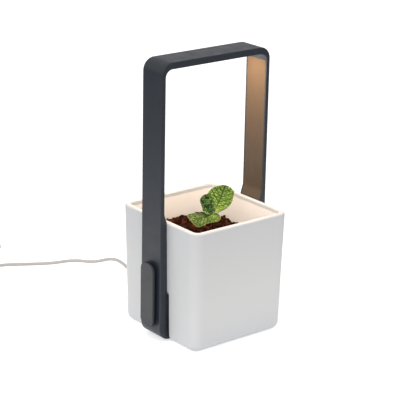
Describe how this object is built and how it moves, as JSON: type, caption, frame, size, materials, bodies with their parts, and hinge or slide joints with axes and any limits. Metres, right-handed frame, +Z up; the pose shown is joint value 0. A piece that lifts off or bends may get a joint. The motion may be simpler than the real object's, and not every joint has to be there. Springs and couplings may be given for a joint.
{
  "type": "countertop hydroponic garden",
  "caption": "Square white self-watering pot on a low base, held between the legs of a dark arch with a grow lamp in its top bar and a tall press pad for the lamp; seedling, USB lead.",
  "frame": {"origin": "centre of the bottom of the standing object, on the surface it stands on; the box is measured without the cord", "axes": "+Z up; +X across the arch from the leg with the lamp pad to the plain leg; +Y from the front of the pot to the back, where the cord leaves"},
  "size_m": [0.2103, 0.3798, 0.2885],
  "materials": {
    "pot_white": "satin moulded plastic",
    "tub_cream": "satin moulded plastic",
    "arch_slate": "satin",
    "button_slate": "satin",
    "diffuser_opal": "opal, satin",
    "board_green": "solder mask",
    "led_yellow": "resin",
    "component_black": "moulded",
    "lead_grey": "flat lead sheath",
    "steel": "plain steel",
    "base_slate": "fine texture",
    "foot_rubber": "soft",
    "basket_black": "moulded",
    "wick_felt": "felt",
    "soil": "crumbly peat",
    "leaf_green": "fresh leaf",
    "cord_white": "soft satin sheath",
    "tie_black": "soft strap"
  },
  "bodies": {
    "base": {"arch_shell": "arch_slate", "near_leg_cover": "arch_slate", "far_leg_cover": "arch_slate", "lamp_bezel": "arch_slate", "lamp_diffuser": "diffuser_opal", "led_board": "board_green", "switch_board": "board_green", "control_board": "board_green", "led_chips": "led_yellow", "board_components": "component_black", "tact_switch": "component_black", "lamp_lead": "lead_grey", "switch_lead": "lead_grey", "inlet_lead": "lead_grey", "button_springs": "steel", "foot_screws": "steel", "cover_screws": "steel", "board_screws": "steel", "liner_screws": "steel", "plug_shell": "steel", "base_tray": "base_slate", "base_cover": "base_slate", "base_feet": "foot_rubber", "power_cord": "cord_white", "cord_coil": "cord_white", "cord_tail": "cord_white", "strain_relief": "cord_white", "plug_body": "cord_white", "cord_tie": "tie_black"},
    "lamp_button": {"lamp_button": "button_slate"},
    "planter": {"planter_shell": "pot_white", "reservoir_tub": "tub_cream"},
    "grow_tray": {"grow_basket": "basket_black", "felt_wicks": "wick_felt", "soil": "soil", "seedling_stem": "leaf_green", "leaf_tall": "leaf_green", "leaf_curled": "leaf_green", "leaf_low": "leaf_green"}
  },
  "joints": [
    {"name": "lamp_button_press", "type": "slide", "parent": "base", "child": "lamp_button", "axis": [1, 0, 0], "range_m": [0, 0.0012], "stiffness_N_per_m": 700, "springref_m": -0.0008, "deforming": ["button_springs"]},
    {"name": "planter_lift", "type": "slide", "parent": "base", "child": "planter", "axis": [0, 0, 1], "range_m": [0, 0.051]},
    {"name": "grow_tray_lift", "type": "slide", "parent": "planter", "child": "grow_tray", "axis": [0, 0, 1], "range_m": [0, 0.076]}
  ]
}
